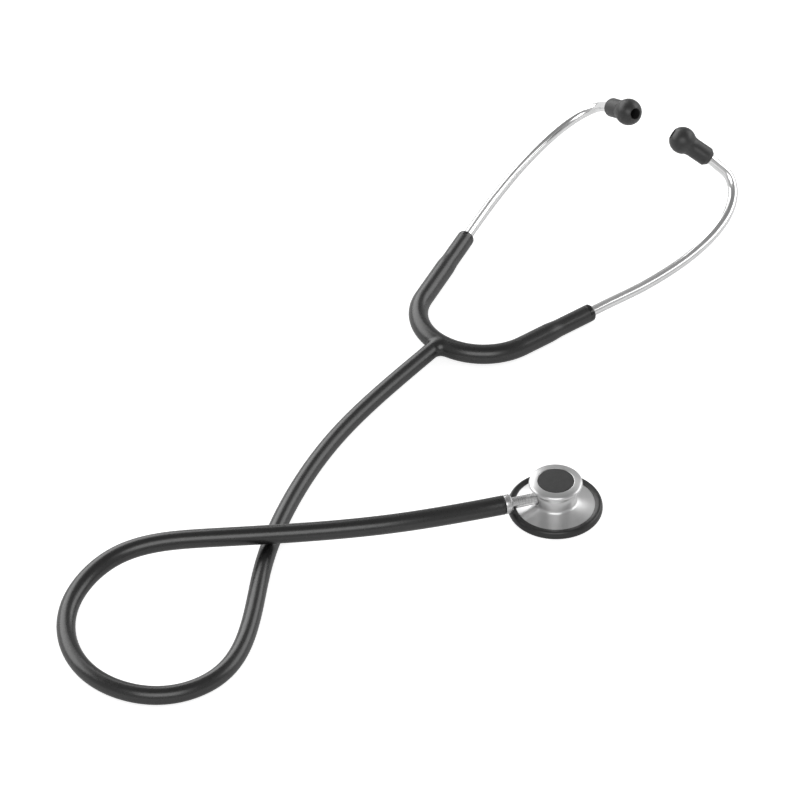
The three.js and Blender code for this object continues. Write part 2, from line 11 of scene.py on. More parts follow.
import bmesh
import bpy
import numpy as np
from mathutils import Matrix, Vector


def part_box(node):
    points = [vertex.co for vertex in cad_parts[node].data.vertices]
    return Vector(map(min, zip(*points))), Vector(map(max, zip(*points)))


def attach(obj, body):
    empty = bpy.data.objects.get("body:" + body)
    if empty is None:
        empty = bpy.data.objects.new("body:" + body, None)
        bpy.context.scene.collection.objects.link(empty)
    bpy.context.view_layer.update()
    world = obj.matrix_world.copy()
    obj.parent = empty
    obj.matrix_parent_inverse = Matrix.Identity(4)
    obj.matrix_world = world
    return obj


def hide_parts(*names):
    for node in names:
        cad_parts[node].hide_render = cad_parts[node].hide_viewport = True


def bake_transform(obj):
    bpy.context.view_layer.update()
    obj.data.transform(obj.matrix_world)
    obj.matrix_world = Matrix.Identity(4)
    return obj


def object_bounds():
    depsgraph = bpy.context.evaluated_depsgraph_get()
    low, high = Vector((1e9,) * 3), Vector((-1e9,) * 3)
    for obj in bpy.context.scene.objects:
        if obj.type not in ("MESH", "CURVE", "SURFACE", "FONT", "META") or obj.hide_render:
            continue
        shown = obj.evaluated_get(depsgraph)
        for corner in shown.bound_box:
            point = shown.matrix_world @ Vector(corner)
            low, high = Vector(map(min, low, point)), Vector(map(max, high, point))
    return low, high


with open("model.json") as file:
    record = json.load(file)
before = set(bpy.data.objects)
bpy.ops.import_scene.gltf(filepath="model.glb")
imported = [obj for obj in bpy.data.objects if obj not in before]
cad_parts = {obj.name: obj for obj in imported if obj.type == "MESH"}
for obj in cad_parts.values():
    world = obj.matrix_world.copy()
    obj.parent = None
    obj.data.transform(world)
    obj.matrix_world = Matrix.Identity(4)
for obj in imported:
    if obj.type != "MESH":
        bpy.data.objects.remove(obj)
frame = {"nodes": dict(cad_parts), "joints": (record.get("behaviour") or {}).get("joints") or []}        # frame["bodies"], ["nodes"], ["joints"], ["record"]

CAD_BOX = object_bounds()
MM = 0.001
UP = Vector((0, 0, 1))
SIDES = ("left", "right")

# ---------------------------------------------------------------- measuring the frame

JOINTS = {joint["name"]: joint for joint in frame["joints"]}
HOSE_JOINTS = [
    "hose_lift_at_yoke",
    *[f"hose_bend_{number}" for number in range(1, 7)],
    "hose_lift_at_stem",
]


def pivot(joint):
    return Vector(JOINTS[joint]["pos_m"])


def axis(joint):
    return Vector(JOINTS[joint]["axis"]).normalized()


def corners(node):
    """The node's corners, each one once."""
    points = np.array([vertex.co for vertex in frame["nodes"][node].data.vertices])
    return np.unique(points.round(7), axis=0)


class Ring:
    """One ring of corners of a hollow swept node."""

    def __init__(self, points):
        self.middle = Vector(points.mean(axis=0))
        spread = np.linalg.norm(points - points.mean(axis=0), axis=1)
        self.outer = float(spread.max())
        self.inner = float(spread.min())


def rings(points, reach):
    """The rings among these corners: corners that are closer than reach belong together."""
    left = points
    found = []
    while len(left):
        ring = left[:1]
        left = left[1:]
        grows = True
        while grows:
            gaps = np.linalg.norm(left[:, None] - ring[None], axis=2).min(axis=1, initial=np.inf)
            grows = (gaps < reach).any()
            ring = np.vstack([ring, left[gaps < reach]])
            left = left[gaps >= reach]
        found.append(Ring(ring))
    return found


def in_order(found, start):
    """The rings from the one nearest to start, each followed by the nearest one left."""
    left = list(found)
    ordered = []
    place = start
    while left:
        nearest = min(left, key=lambda ring: (ring.middle - place).length)
        left.remove(nearest)
        ordered.append(nearest)
        place = nearest.middle
    return ordered


def turned_corners(node, origin, direction):
    """Distance along the axis and radius of each corner of a turned node."""
    offset = corners(node) - np.array(origin)
    along = offset @ np.array(direction)
    across = np.linalg.norm(offset - along[:, None] * np.array(direction), axis=1)
    return along, across


# ---------------------------------------------------------------- curves and outlines


class Path:
    """A natural cubic spline through points, measured by the distance along its chords."""

    def __init__(self, points):
        self.points = np.array(points)
        gaps = np.linalg.norm(np.diff(self.points, axis=0), axis=1)
        self.knots = np.concatenate([[0], np.cumsum(gaps)])
        self.length = float(self.knots[-1])
        system = np.eye(len(self.points))
        known = np.zeros_like(self.points)
        slopes = np.diff(self.points, axis=0) / gaps[:, None]
        for row in range(1, len(self.points) - 1):
            before, after = gaps[row - 1], gaps[row]
            system[row, row - 1 : row + 2] = before, 2 * (before + after), after
            known[row] = 6 * (slopes[row] - slopes[row - 1])
        self.bends = np.linalg.solve(system, known)

    def _span(self, distance):
        last = len(self.knots) - 2
        index = int(np.clip(np.searchsorted(self.knots, distance) - 1, 0, last))
        gap = self.knots[index + 1] - self.knots[index]
        return index, gap, (distance - self.knots[index]) / gap

    def at(self, distance):
        index, gap, share = self._span(distance)
        rest = 1 - share
        here, there = self.points[index], self.points[index + 1]
        bend_here, bend_there = self.bends[index], self.bends[index + 1]
        bulge = (rest**3 - rest) * bend_here + (share**3 - share) * bend_there
        return Vector(rest * here + share * there + gap**2 / 6 * bulge)

    def direction(self, distance):
        step = 0.05 * MM
        return (self.at(distance + step) - self.at(distance - step)).normalized()

    def distance_to(self, point):
        """Distance along the path to its knot nearest to a point."""
        return float(self.knots[np.linalg.norm(self.points - np.array(point), axis=1).argmin()])


def spaced(start, end, step):
    """Numbers from start to end, at most a step apart."""
    count = max(1, math.ceil((end - start) / step))
    return [start + (end - start) * index / count for index in range(count + 1)]


def curve_points(start, pull, end, steps=8):
    """A quadratic curve from start to end, without its start."""
    shares = [step / steps for step in range(1, steps + 1)]
    return [
        tuple(
            (1 - t) ** 2 * a + 2 * t * (1 - t) * b + t**2 * c
            for a, b, c in zip(start, pull, end)
        )
        for t in shares
    ]


def arc_points(middle, radius, start, end, steps):
    """Points of an arc in an outline, between two angles in degrees from the radius axis."""
    angles = np.radians(np.linspace(start, end, steps + 1))
    return [(middle[0] + radius * math.cos(a), middle[1] + radius * math.sin(a)) for a in angles]


def rounded(outline, radius, steps=4):
    """The outline with each corner that turns sharply cut back to a small curve."""
    result = [outline[0]]
    for before, corner, after in zip(outline, outline[1:], outline[2:]):
        to_before = Vector(before) - Vector(corner)
        to_after = Vector(after) - Vector(corner)
        turn = math.pi - to_before.angle(to_after)
        if turn < math.radians(20):
            result.append(corner)
            continue
        cut = min(radius, 0.45 * to_before.length, 0.45 * to_after.length)
        start = tuple(Vector(corner) + cut * to_before.normalized())
        end = tuple(Vector(corner) + cut * to_after.normalized())
        result += [start, *curve_points(start, corner, end, steps)]
    return [*result, outline[-1]]


# ---------------------------------------------------------------- mesh building

SHARP = math.radians(38)


def frame_at(direction):
    """Two unit vectors across a direction: to its side, and as far up as it can be."""
    across = direction.cross(UP if abs(direction.z) < 0.99 else Vector((1, 0, 0))).normalized()
    return across, across.cross(direction)


def circle(middle, direction, radius, facets):
    """A loop of points round a direction; a radius of 0 gives a single point."""
    if radius <= 0:
        return [middle.copy()]
    across, up = frame_at(direction)
    angles = [2 * math.pi * facet / facets for facet in range(facets)]
    return [middle + radius * (math.cos(a) * across + math.sin(a) * up) for a in angles]


def band_between(mesh, first, second):
    """Faces between two loops of vertices, of which one may be a single point."""
    count = max(len(first), len(second))
    for here in range(count):
        after = (here + 1) % count
        face = [first[here % len(first)], first[after % len(first)]]
        face += [second[after % len(second)], second[here % len(second)]]
        mesh.faces.new(list(dict.fromkeys(face)))


def skin(name, loops, wrap=False):
    """A closed mesh through a row of loops. With wrap the last loop joins the first one."""
    mesh = bmesh.new()
    rows = [[mesh.verts.new(point) for point in loop] for loop in loops]
    for first, second in zip(rows, rows[1:] + rows[:1] if wrap else rows[1:]):
        band_between(mesh, first, second)
    if not wrap:
        for row in (rows[0], rows[-1]):
            if len(row) > 1:
                mesh.faces.new(row)
    bmesh.ops.recalc_face_normals(mesh, faces=mesh.faces)
    return piece_from(name, mesh)


def piece_from(name, mesh):
    """A new object that takes this mesh, smooth but for its sharp edges."""
    for edge in mesh.edges:
        edge.smooth = len(edge.link_faces) == 2 and edge.calc_face_angle() < SHARP
    for face in mesh.faces:
        face.smooth = True
    data = bpy.data.meshes.new(name)
    mesh.to_mesh(data)
    mesh.free()
    piece = bpy.data.objects.new(name, data)
    bpy.context.scene.collection.objects.link(piece)
    return piece


def turn(name, outline, origin=Vector(), direction=UP, facets=160):
    """A turned piece from an outline of (radius, height) in millimetres about an axis."""
    closed = outline[0][0] > 0
    loops = [
        circle(origin + direction * height * MM, direction, radius * MM, facets)
        for radius, height in outline
    ]
    return skin(name, loops, wrap=closed)


def sweep(name, outside, inside, facets=48):
    """A hollow bar from stations of (middle, direction, radius) for its outside and its bore."""
    loops = [circle(*station, facets) for station in outside]
    loops += [circle(*station, facets) for station in reversed(inside)]
    return skin(name, loops, wrap=True)


def stations(path, start, end, radius_at, step=2 * MM):
    """Stations along a path between two distances."""
    return [
        (path.at(distance), path.direction(distance), radius_at(distance))
        for distance in spaced(start, end, step)
    ]


def applied(piece, kind, **settings):
    """Adds a modifier to a piece and makes its result the piece's mesh."""
    modifier = piece.modifiers.new(kind, kind)
    for key, value in settings.items():
        setattr(modifier, key, value)
    graph = bpy.context.evaluated_depsgraph_get()
    data = bpy.data.meshes.new_from_object(piece.evaluated_get(graph))
    piece.modifiers.clear()
    piece.data = data
    return piece


def cut(piece, *tools):
    """Cuts the tools out of a piece and removes them."""
    for tool in tools:
        applied(piece, "BOOLEAN", operation="DIFFERENCE", object=tool, solver="EXACT")
        bpy.data.objects.remove(tool)
    mesh = bmesh.new()
    mesh.from_mesh(piece.data)
    bmesh.ops.dissolve_degenerate(mesh, dist=0.002 * MM, edges=mesh.edges)
    result = piece_from(piece.name + "_cut", mesh)
    name = piece.name
    bpy.data.objects.remove(piece)
    result.name = name
    return result


# ---------------------------------------------------------------- materials


class Finish:
    """A material with one Principled surface, and short calls for the nodes that feed it."""

    def __init__(self, name, **values):
        self.material = bpy.data.materials.new(name)
        self.material.use_nodes = True
        self.tree = self.material.node_tree
        self.surface = self.tree.nodes["Principled BSDF"]
        self.place = self.node("TexCoord").outputs["Object"]
        self.feed(self.surface, values)

    def feed(self, node, values):
        """Sets a node's inputs, each from a value or from another node's output."""
        for key, value in values.items():
            socket = node.inputs[key]
            if isinstance(value, bpy.types.NodeSocket):
                self.tree.links.new(value, socket)
            else:
                socket.default_value = value

    def node(self, kind, values=None, **settings):
        made = self.tree.nodes.new("ShaderNode" + kind)
        for key, value in settings.items():
            setattr(made, key, value)
        self.feed(made, values or {})
        return made

    def grain(self, size, detail=3.0, stretch=(1, 1, 1)):
        """A noise from 0 to 1 with features of about this size, longer where stretch is more."""
        scale = [1 / factor for factor in stretch]
        place = self.node("Mapping", {"Vector": self.place, "Scale": scale}).outputs["Vector"]
        noise = self.node("TexNoise", {"Vector": place, "Scale": 1 / size, "Detail": detail})
        return noise.outputs["Fac"]

    def between(self, share, low, high, start=0.35, end=0.65):
        """A number that goes from low to high as share goes from start to end."""
        limits = {"From Min": start, "From Max": end, "To Min": low, "To Max": high}
        return self.node("MapRange", {"Value": share, **limits}).outputs["Result"]

    def tint(self, share, dark, light):
        """A grey between two brightnesses."""
        level = self.between(share, dark, light)
        parts = {"Red": level, "Green": level, "Blue": level}
        return self.node("CombineColor", parts).outputs["Color"]

    def radius_about(self, direction_index, offset=(0, 0, 0)):
        """The distance from an axis through offset along X (0), Y (1) or Z (2)."""
        moved = self.node("VectorMath", {0: self.place, 1: offset}, operation="SUBTRACT")
        keep = [0 if index == direction_index else 1 for index in range(3)]
        flat = self.node("VectorMath", {0: moved.outputs["Vector"], 1: keep}, operation="MULTIPLY")
        length = self.node("VectorMath", {0: flat.outputs["Vector"]}, operation="LENGTH")
        return length.outputs["Value"]

    def bump(self, height, depth, before=None):
        """A normal from a height between 0 and 1 that stands this far out."""
        values = {"Height": height, "Distance": depth, "Strength": 1.0}
        if before is not None:
            values["Normal"] = before
        return self.node("Bump", values).outputs["Normal"]


def tubing_finish():
    """Black PVC with a satin skin, a fine moulding grain and slight handling marks."""
    finish = Finish("moulded_pvc")
    haze = finish.grain(14 * MM, 4)
    marks = finish.grain(1.6 * MM, 5)
    skin_grain = finish.bump(finish.grain(0.25 * MM, 2), 0.003 * MM)
    normal = finish.bump(finish.grain(6 * MM, 2), 0.02 * MM, skin_grain)
    finish.feed(finish.surface, {
        "Base Color": finish.tint(haze, 0.005, 0.007),
        "Roughness": finish.between(marks, 0.27, 0.32),
        "Normal": normal,
        "IOR": 1.7,
    })
    return finish.material


def band_finish():
    """The same PVC, trimmed and heat-polished at the leg's end."""
    finish = Finish("polished_pvc")
    smear = finish.grain(1.2 * MM, 3)
    finish.feed(finish.surface, {
        "Base Color": finish.tint(finish.grain(2 * MM), 0.002, 0.004),
        "Roughness": finish.between(smear, 0.10, 0.14),
        "Normal": finish.bump(smear, 0.003 * MM),
        "IOR": 1.65,
    })
    return finish.material


def rubber_finish(name, dark, light, roughness):
    """Moulded rubber: a matte skin with a fine grain and cloudy variation."""
    finish = Finish(name)
    fine = finish.bump(finish.grain(0.18 * MM, 2), 0.006 * MM)
    finish.feed(finish.surface, {
        "Base Color": finish.tint(finish.grain(3.5 * MM, 4), dark, light),
        "Roughness": finish.between(finish.grain(1.1 * MM, 4), roughness - 0.05, roughness + 0.05),
        "Normal": finish.bump(finish.grain(1.5 * MM, 2), 0.02 * MM, fine),
        "IOR": 1.58,
    })
    return finish.material


def turned_finish(name, axis_index, offset, dark, light, roughness, groove, fan):
    """Satin aluminium with the fine rings that turning leaves, and light that fans along them."""
    finish = Finish(name, Metallic=1.0)
    radius = finish.radius_about(axis_index, offset)
    parts = finish.node("SeparateXYZ", {"Vector": finish.place})
    height = parts.outputs[axis_index]
    across = finish.node("CombineXYZ", {"X": radius, "Y": height}).outputs["Vector"]
    lines = finish.node("TexNoise", {"Vector": across, "Scale": 1 / (0.16 * MM), "Detail": 3.0})
    broad = finish.node("TexNoise", {"Vector": across, "Scale": 1 / (1.4 * MM), "Detail": 2.0})
    tangent = finish.node("Tangent", direction_type="RADIAL", axis="XYZ"[axis_index])
    scratch = finish.bump(finish.grain(0.3 * MM, 3), 0.6 * groove)
    finish.feed(finish.surface, {
        "Base Color": finish.tint(broad.outputs["Fac"], dark, light),
        "Roughness": finish.between(lines.outputs["Fac"], roughness - 0.02, roughness + 0.03),
        "Normal": finish.bump(lines.outputs["Fac"], groove, scratch),
        "Anisotropic": fan,
        "Anisotropic Rotation": 0.25,
        "Tangent": tangent.outputs["Tangent"],
    })
    return finish.material


def chrome_finish():
    """Polished chrome plate with a breath of haze."""
    finish = Finish("chrome_plate", Metallic=1.0)
    haze = finish.grain(6 * MM, 5)
    finish.feed(finish.surface, {
        "Base Color": finish.tint(haze, 0.86, 0.90),
        "Roughness": finish.between(haze, 0.15, 0.18),
        "Normal": finish.bump(finish.grain(6 * MM, 2), 0.002 * MM),
    })
    return finish.material


def steel_finish():
    """Plain spring steel, for the pieces inside."""
    finish = Finish("spring_steel", Metallic=1.0)
    finish.feed(finish.surface, {
        "Base Color": finish.tint(finish.grain(0.8 * MM, 5), 0.42, 0.52),
        "Roughness": finish.between(finish.grain(0.3 * MM, 4), 0.24, 0.36),
        "Normal": finish.bump(finish.grain(0.2 * MM, 3), 0.004 * MM),
    })
    return finish.material


def disc_finish():
    """The dark membrane on top: matte, with a very fine leathery grain."""
    finish = Finish("dark_membrane")
    cells = finish.node("TexVoronoi", {"Vector": finish.place, "Scale": 1 / (0.35 * MM)})
    finish.feed(finish.surface, {
        "Base Color": finish.tint(finish.grain(2.2 * MM, 5), 0.040, 0.046),
        "Roughness": finish.between(finish.grain(0.7 * MM, 4), 0.52, 0.62),
        "Normal": finish.bump(cells.outputs["Distance"], 0.012 * MM),
        "Specular IOR Level": 0.35,
    })
    return finish.material


def resin_finish():
    """The large diaphragm: pale glass-fibre resin with its weave just showing."""
    finish = Finish("fibre_resin")
    parts = finish.node("SeparateXYZ", {"Vector": finish.place})
    threads = [
        finish.node("Math", {0: parts.outputs[index], 1: 1 / (0.11 * MM)}, operation="MULTIPLY")
        for index in (0, 1)
    ]
    waves = [
        finish.node("Math", {0: thread.outputs["Value"]}, operation="SINE").outputs["Value"]
        for thread in threads
    ]
    weave = finish.node("Math", {0: waves[0], 1: waves[1]}, operation="MULTIPLY").outputs["Value"]
    finish.feed(finish.surface, {
        "Base Color": finish.tint(finish.grain(1.5 * MM, 5), 0.52, 0.60),
        "Roughness": finish.between(weave, 0.26, 0.34, -1, 1),
        "Normal": finish.bump(weave, 0.003 * MM),
        "Coat Weight": 0.3,
    })
    return finish.material


STEM_MIDDLE = (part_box("stem")[0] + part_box("stem")[1]) / 2

MATERIALS = {
    "tubing": tubing_finish(),
    "glossy_band": band_finish(),
    "rim_rubber": rubber_finish("rim_rubber", 0.007, 0.010, 0.33),
    "ear_tip": rubber_finish("ear_tip_silicone", 0.018, 0.025, 0.40),
    "aluminium": turned_finish("turned_aluminium", 2, (0, 0, 0), 0.68, 0.71, 0.34, 0.001 * MM, 0.6),
    "stem": turned_finish("turned_stem", 0, STEM_MIDDLE, 0.66, 0.69, 0.26, 0.0001 * MM, 0.0),
    # the sound hole's material is painted shade: a near-black for the faces inside the ear tips'
    # holes
    "sound_hole": rubber_finish("sound_hole_painted_shade", 0.001, 0.002, 0.85),
    "chrome": chrome_finish(),
    "steel": steel_finish(),
    "dark_disc": disc_finish(),
    "clear_resin": resin_finish(),
}


def dress(piece, slot, body=None, replaces=(), material=None):
    """Gives a new piece its material, looked up by slot unless material is given, its body and the
    nodes it stands for.
    """
    piece.data.materials.clear()
    piece.data.materials.append(MATERIALS[material or slot])
    if body:
        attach(piece, body)
    if replaces:
        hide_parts(*replaces)
    return piece


# ---------------------------------------------------------------- the yoke's plane and its U


class Leg:
    """One leg of the yoke: where it starts to spread, where it ends, and its radii."""

    def __init__(self, side):
        self.side = side
        self.start = pivot(f"{side}_leg_spread")
        self.end = pivot(f"{side}_ear_tube_twist")
        self.direction = (self.end - self.start).normalized()
        along, across = turned_corners(f"{side}_leg_tube", self.start, self.direction)
        close = 0.02 * MM
        self.thick = float(across.max())
        self.thick_end = float(along[across > self.thick - close].max())
        band_along, band_across = turned_corners(f"{side}_leg_band", self.start, self.direction)
        self.thin = float(band_across.max())
        self.band_start = float(band_along.min())
        self.band_end = float(band_along.max())
        self.thin_start = float(along[abs(across - self.thin) < close].min())
        self.tube_end = float(along.max())
        self.lumen = float(across[along < along.min() + close].min())
        self.tight = float(across.min())

    def taper(self, distance, thick, thin):
        """A radius that eases from thick to thin between the two places where the leg narrows."""
        share = (distance - self.thick_end) / (self.thin_start - self.thick_end)
        share = min(1, max(0, share))
        return thick + (thin - thick) * share**2 * (3 - 2 * share)


LEGS = {side: Leg(side) for side in SIDES}


class Bend:
    """The U of the yoke: an arc that both legs touch, in the plane of the legs."""

    def __init__(self, left, right):
        self.normal = axis("left_leg_spread")
        forward = (left.direction + right.direction).normalized()
        inward = self.normal.cross(right.direction)
        half = (left.start - right.start).length / 2
        self.radius = half / inward.dot((left.start - right.start).normalized())
        self.middle = right.start + inward * self.radius
        self.bottom = -forward
        self.sideways = self.normal.cross(forward)
        self.limit = math.pi / 2 - left.direction.angle(right.direction) / 2

    def at(self, angle):
        """The point of the arc at an angle from its bottom, towards the left leg."""
        return self.middle + self.radius * (
            math.cos(angle) * self.bottom + math.sin(angle) * self.sideways
        )

    def direction(self, angle):
        return -math.sin(angle) * self.bottom + math.cos(angle) * self.sideways

    def distance(self, points):
        """Distance from the arc's whole circle, and the unit vectors that point away from it."""
        offset = points - np.array(self.middle)
        height = offset @ np.array(self.normal)
        flat = offset - height[:, None] * np.array(self.normal)
        nearest = flat / np.linalg.norm(flat, axis=1)[:, None] * self.radius
        away = offset - nearest
        gap = np.linalg.norm(away, axis=1)
        return gap, away / gap[:, None]


BEND = Bend(LEGS["left"], LEGS["right"])

# ---------------------------------------------------------------- the hose's middle line


def neck_rings():
    """The rings of the hose's first stretch, which is one moulding with the yoke."""
    points = corners("yoke_tube")
    gap, _ = BEND.distance(points)
    clear_of_arm = points[gap > 11 * MM]
    return in_order(rings(clear_of_arm, 2.4 * MM), BEND.at(0))


def neck_foot(first, second):
    """Where the line through the neck's first two rings meets the arc of the U."""
    back = (first - second).normalized()
    steps = np.arange(0, 40 * MM, 0.02 * MM)
    line = np.array(first) + steps[:, None] * np.array(back)
    gap, _ = BEND.distance(line)
    return Vector(line[gap.argmin()])


class Hose:
    """The whole hose: its middle line, its radii and the distances of its joints."""

    def __init__(self):
        neck = neck_rings()
        points = [neck_foot(neck[0].middle, neck[1].middle)]
        points += [ring.middle for ring in neck[:-1]]
        for number, joint in enumerate(HOSE_JOINTS, 1):
            points.append(pivot(joint))
            link = in_order(rings(corners(f"hose_link_{number}"), 3 * MM), pivot(joint))
            points += [ring.middle for ring in link[1:-1]]
            last = link[-1]
        points.append(last.middle)
        self.path = Path(points)
        self.start_radius = neck[0].outer
        self.end_radius = last.outer
        self.wall = neck[0].outer - neck[0].inner
        self.joints = [self.path.distance_to(pivot(joint)) for joint in HOSE_JOINTS]

    def radius_at(self, distance):
        share = distance / self.path.length
        return self.start_radius + share * (self.end_radius - self.start_radius)

    def bore_at(self, distance):
        return self.radius_at(distance) - self.wall


HOSE = Hose()
NECK_CUT = 16 * MM  # from the middle of the U's tube to the first cut through the hose
YOKE_CUT = math.radians(25)  # from the bottom of the U to the cut through each arm

# ---------------------------------------------------------------- the yoke's T piece


def yoke_blank():
    """The U's bottom and the neck as two crossing bars, a little longer than the finished T."""
    spare = 5 * MM
    spare_angle = spare / BEND.radius
    angles = spaced(-YOKE_CUT - spare_angle, YOKE_CUT + spare_angle, 0.03)
    arm = [circle(BEND.at(a), BEND.direction(a), LEGS["left"].thick, 48) for a in angles]
    neck = stations(HOSE.path, 0, NECK_CUT + spare, HOSE.radius_at, 1 * MM)
    return skin("arm", arm), skin("neck", [circle(*station, 48) for station in neck])


def yoke_lumen():
    """The U's lumen and the neck's bore, running out through the cuts."""
    angles = spaced(-YOKE_CUT - 0.1, YOKE_CUT + 0.1, 0.03)
    arm = [circle(BEND.at(a), BEND.direction(a), LEGS["left"].lumen, 32) for a in angles]
    neck = stations(HOSE.path, 0, NECK_CUT + 2 * MM, HOSE.bore_at, 1 * MM)
    return skin("lumen", arm), skin("bore", [circle(*station, 24) for station in neck])


TIGHT_FILLET = 1.1 * MM  # where the neck meets the U, towards the left leg
WEB_FILLET = 3.2 * MM  # and towards the right leg
WEB_EASE = 5 * MM


def yoke_surface(points):
    """Height over the yoke's skin, with its crease at the neck rounded, and the way out of it."""
    samples = np.arange(4 * MM, NECK_CUT + 8 * MM, 0.4 * MM)
    line = np.array([HOSE.path.at(distance) for distance in samples])
    radii = np.array([HOSE.radius_at(distance) for distance in samples])
    gaps = np.linalg.norm(points[:, None] - line[None], axis=2)
    nearest = gaps.argmin(axis=1)
    neck_away = (points - line[nearest]) / gaps.min(axis=1)[:, None]
    neck_height = gaps.min(axis=1) - radii[nearest]
    arm_gap, arm_away = BEND.distance(points)
    arm_height = arm_gap - LEGS["left"].thick
    side = (points - line[0]) @ np.array(BEND.sideways)
    fillet = TIGHT_FILLET + (WEB_FILLET - TIGHT_FILLET) * np.clip(0.5 - side / WEB_EASE, 0, 1)
    share = np.clip(0.5 + 0.5 * (neck_height - arm_height) / fillet, 0, 1)
    height = share * arm_height + (1 - share) * neck_height - fillet * share * (1 - share)
    away = share[:, None] * arm_away + (1 - share)[:, None] * neck_away
    return height, away


def settle_on_surface(piece):
    """Moves each vertex out to the yoke's rounded skin."""
    points = np.array([vertex.co for vertex in piece.data.vertices])
    for _ in range(6):
        height, away = yoke_surface(points)
        points -= (height / (away**2).sum(axis=1))[:, None] * away
    piece.data.vertices.foreach_set("co", points.astype(np.float32).ravel())


def trim(piece, place, direction):
    """Cuts off what lies beyond a plane and closes the end."""
    mesh = bmesh.new()
    mesh.from_mesh(piece.data)
    everything = mesh.verts[:] + mesh.edges[:] + mesh.faces[:]
    bmesh.ops.bisect_plane(
        mesh, geom=everything, plane_co=place, plane_no=direction, clear_outer=True
    )
    rim = [edge for edge in mesh.edges if edge.is_boundary]
    bmesh.ops.edgeloop_fill(mesh, edges=rim)
    bmesh.ops.recalc_face_normals(mesh, faces=mesh.faces)
    mesh.to_mesh(piece.data)
    mesh.free()


def build_yoke_centre():
    """The T where the hose meets the U, one smooth moulding with its lumen."""
    arm, neck = yoke_blank()
    joined = applied(arm, "BOOLEAN", operation="UNION", object=neck, solver="EXACT")
    bpy.data.objects.remove(neck)
    applied(joined, "REMESH", mode="VOXEL", voxel_size=0.5 * MM, use_smooth_shade=True)
    settle_on_surface(joined)
    trim(joined, BEND.at(YOKE_CUT), BEND.direction(YOKE_CUT))
    trim(joined, BEND.at(-YOKE_CUT), -BEND.direction(-YOKE_CUT))
    trim(joined, HOSE.path.at(NECK_CUT), HOSE.path.direction(NECK_CUT))
    joined.name = "yoke_centre"
    centre = cut(joined, *yoke_lumen())
    return dress(centre, "tubing", "yoke", ["yoke_tube"])


# ---------------------------------------------------------------- the yoke's arms and bands


def arm_stations(leg, radius_on_leg, end):
    """Stations from the T piece round the U and up the leg to a distance on it."""
    sign = 1 if leg.side == "left" else -1
    step = 1.2 * MM
    result = [
        (BEND.at(sign * angle), sign * BEND.direction(sign * angle), radius_on_leg(0))
        for angle in spaced(YOKE_CUT, BEND.limit, step / BEND.radius)[:-1]
    ]
    for distance in spaced(0, end, step):
        result.append((leg.start + distance * leg.direction, leg.direction, radius_on_leg(distance)))
    return result


def build_arm(leg):
    """One arm of the U with its leg, as far as the glossy band."""
    outside = arm_stations(leg, lambda d: leg.taper(d, leg.thick, leg.thin), leg.tube_end)
    inside = arm_stations(leg, lambda d: leg.taper(d, leg.lumen, leg.tight), leg.tube_end)
    arm = dress(
        sweep(f"{leg.side}_arm", outside, inside), "tubing", replaces=[f"{leg.side}_leg_tube"]
    )
    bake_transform(arm)


def build_band(leg):
    """The glossy end of a leg, rounded towards the ear tube."""
    thin, start, end, bore = (
        value / MM for value in (leg.thin, leg.band_start, leg.band_end, leg.tight)
    )
    nose = 1.1
    outline = [(bore, start), (thin - 0.12, start), (thin, start + 0.12), (thin, end - nose)]
    outline += arc_points((thin - nose, end - nose), nose, 8, 90, 9)
    outline += [(bore + 0.25, end), (bore, end - 0.25)]
    band = turn(f"{leg.side}_band_polished", outline, leg.start, leg.direction, 72)
    dress(band, "glossy_band", f"{leg.side}_leg", [f"{leg.side}_leg_band"])


# ---------------------------------------------------------------- hose sections


def section_cuts():
    """Distances at which the hose's sections meet: halfway between its joints."""
    halfway = [(here + there) / 2 for here, there in zip(HOSE.joints, HOSE.joints[1:])]
    return [NECK_CUT, *halfway, HOSE.path.length]


def hose_bodies():
    """The two bodies that each hose joint connects."""
    names = [f"hose_{number}" for number in range(1, 8)]
    return list(zip(["yoke", *names], [*names, "hose_end"]))


def bend_reach(joint, start, end):
    """How far a section reaches on each side of its joint, measured along the joint's tangent."""
    middle = HOSE.path.at(joint)
    direction = HOSE.path.direction(joint)
    before = (middle - HOSE.path.at(start)).dot(direction)
    after = (HOSE.path.at(end) - middle).dot(direction)
    return min(0.96 * before, 0.96 * after, 30 * MM) * direction


def soften_end(outside):
    """Rounds the outer edge of a bar's last station."""
    edge = 0.5 * MM
    middle, direction, radius = outside.pop()
    for angle in np.radians(np.linspace(0, 90, 6)):
        back = edge * (1 - math.sin(angle))
        outside.append((middle - back * direction, direction, radius - edge * (1 - math.cos(angle))))


def over_nipple(inside, nipple_end):
    """The bore's stations, wider where the hose is pushed over the stem's nipple."""
    stretched = 3.05 * MM
    first = nipple_end - 1.5 * MM
    return [
        (middle, direction, stretched if middle.x > first else radius)
        for middle, direction, radius in inside
    ]


def build_hose():
    """The hose in sections, each with a joint in its middle."""
    cuts = section_cuts()
    nipple_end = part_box("stem")[0].x
    for number, (first, second) in enumerate(hose_bodies(), 1):
        start, end = cuts[number - 1], cuts[number]
        joint = HOSE.joints[number - 1]
        outside = stations(HOSE.path, start, end, HOSE.radius_at)
        inside = stations(HOSE.path, start, end, HOSE.bore_at)
        reach = bend_reach(joint, start, end)
        if second == "hose_end":
            inside = over_nipple(inside, nipple_end)
            soften_end(outside)
            soft_length = nipple_end - pivot("hose_lift_at_stem").x
            reach *= min(1, 0.95 * soft_length / reach.length)
        section = sweep(f"hose_section_{number}", outside, inside)
        dress(section, "tubing", replaces=[f"hose_link_{number}"])
        middle = HOSE.path.at(joint)
        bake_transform(section)


# ---------------------------------------------------------------- ear tubes and ear tips


